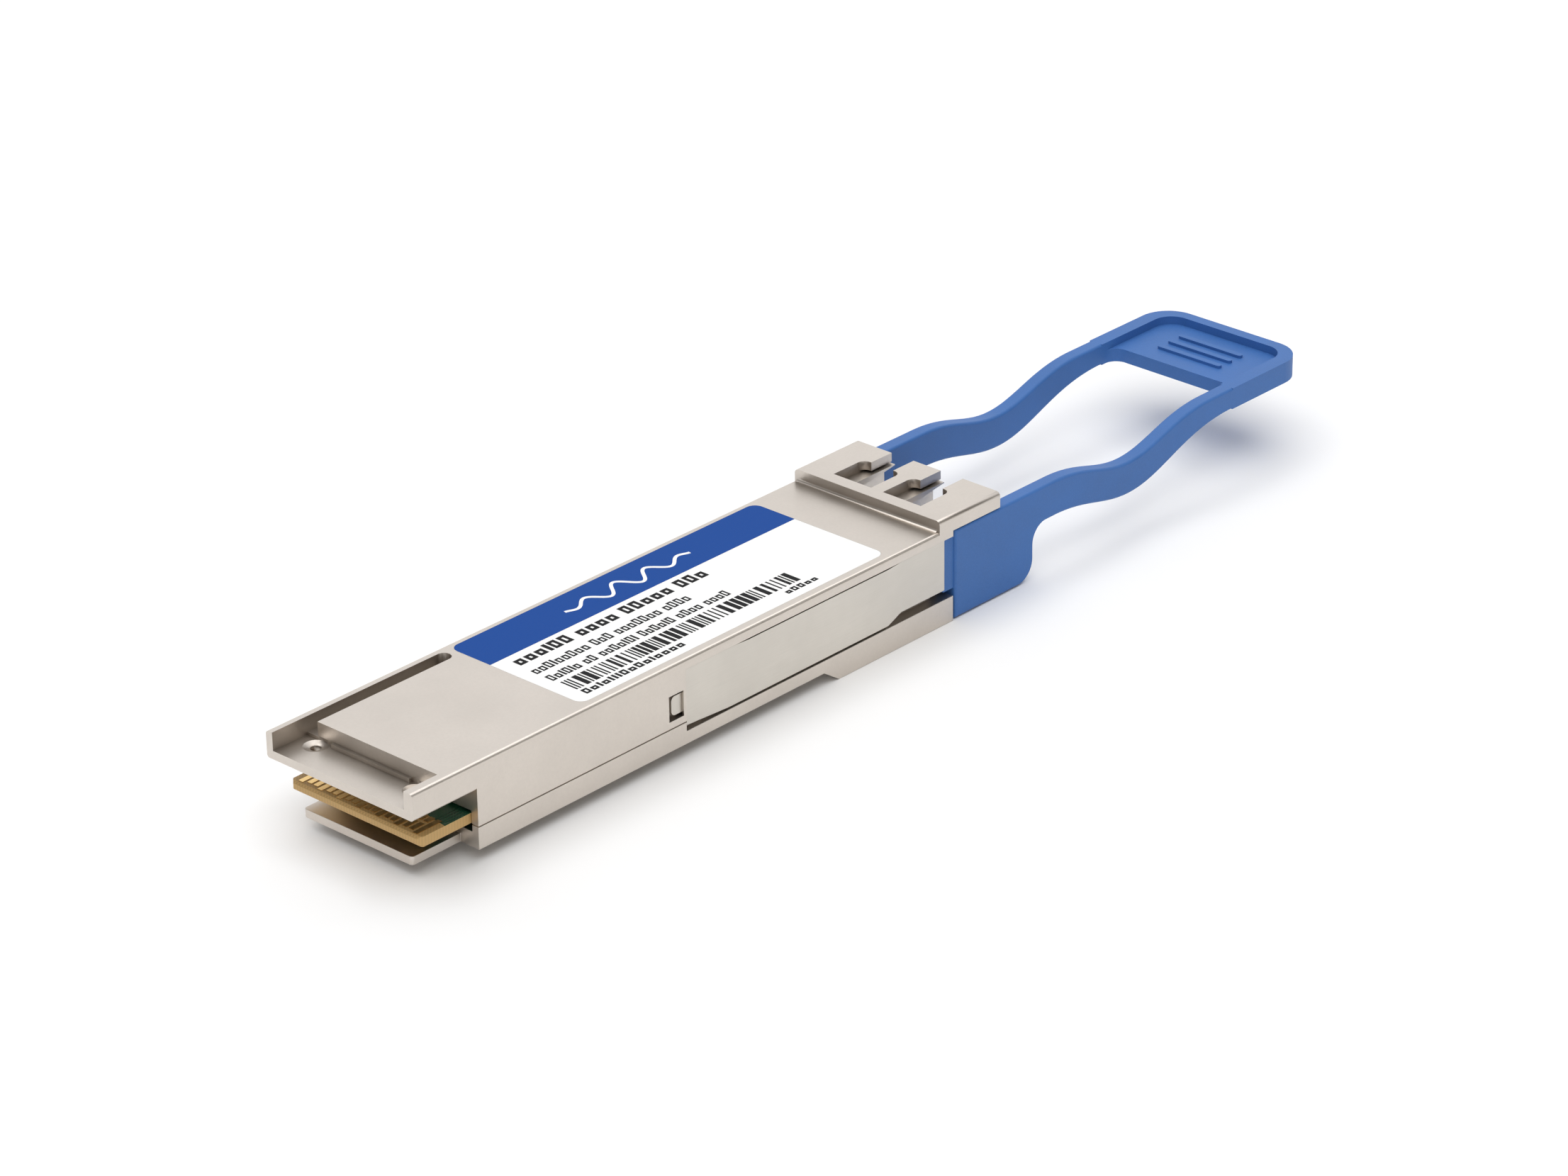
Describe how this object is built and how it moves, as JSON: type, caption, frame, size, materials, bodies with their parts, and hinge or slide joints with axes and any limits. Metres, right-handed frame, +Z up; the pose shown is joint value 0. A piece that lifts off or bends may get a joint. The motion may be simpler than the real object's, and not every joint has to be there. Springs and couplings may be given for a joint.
{
  "type": "optical transceiver module",
  "caption": "Pluggable network transceiver: slim plated metal case, gold edge contacts at the nose, duplex fibre sockets and a blue loop pull tab at the other end.",
  "frame": {"origin": "middle of the base of the whole object's bounding box: on the plane of the raised belly behind the stop, on the mid plane, halfway from nose to grip end", "axes": "+Y from the electrical nose to the pull tab's grip, +Z up out of the labelled roof, +X to the side on the right when looking along +Y"},
  "size_m": [0.0184, 0.125, 0.011],
  "materials": {
    "plated_casting": "satin nickel plating over a die casting",
    "screw_steel": "dark zinc plating",
    "conductive_rubber": "matt",
    "label_film": null,
    "circuit_board": "green solder mask with a bare laminate edge",
    "gold_contact": "gold plating",
    "chip_mould": "matt moulding compound",
    "chip_ceramic": "matt ceramic",
    "package_metal": "gold plating, satin",
    "thermal_rubber": "matt",
    "barrel_steel": "turned, satin",
    "ferrule_ceramic": "polished",
    "flex_film": "polyimide film",
    "slide_steel": "rolled stainless, satin",
    "tab_plastic": "satin moulding",
    "spring_steel": "drawn wire"
  },
  "bodies": {
    "module": {"upper_housing": "plated_casting", "lower_housing": "plated_casting", "housing_screws": "screw_steel", "seam_gaskets": "conductive_rubber", "label": "label_film", "main_pcb": "circuit_board", "contacts_top": "gold_contact", "contacts_bottom": "gold_contact", "cdr_tx_chip": "chip_mould", "cdr_rx_chip": "chip_mould", "microcontroller": "chip_mould", "power_inductors": "chip_mould", "oscillator": "package_metal", "passives": "chip_ceramic", "thermal_pads": "thermal_rubber", "tosa_package": "package_metal", "tosa_barrel": "barrel_steel", "tosa_sleeve": "ferrule_ceramic", "tosa_fibre_stub": "ferrule_ceramic", "tosa_flex": "flex_film", "rosa_package": "package_metal", "rosa_barrel": "barrel_steel", "rosa_sleeve": "ferrule_ceramic", "rosa_fibre_stub": "ferrule_ceramic", "rosa_flex": "flex_film", "receptacle_clamp": "plated_casting", "return_spring_left": "spring_steel", "return_spring_right": "spring_steel"},
    "release": {"release_slide": "slide_steel", "pull_tab": "tab_plastic"}
  },
  "joints": [
    {"name": "release_pull", "type": "slide", "parent": "module", "child": "release", "axis": [0, 1, 0], "range_m": [0, 0.0025], "stiffness_N_per_m": 600, "springref_m": -0.003, "deforming": ["return_spring_left", "return_spring_right"]}
  ]
}
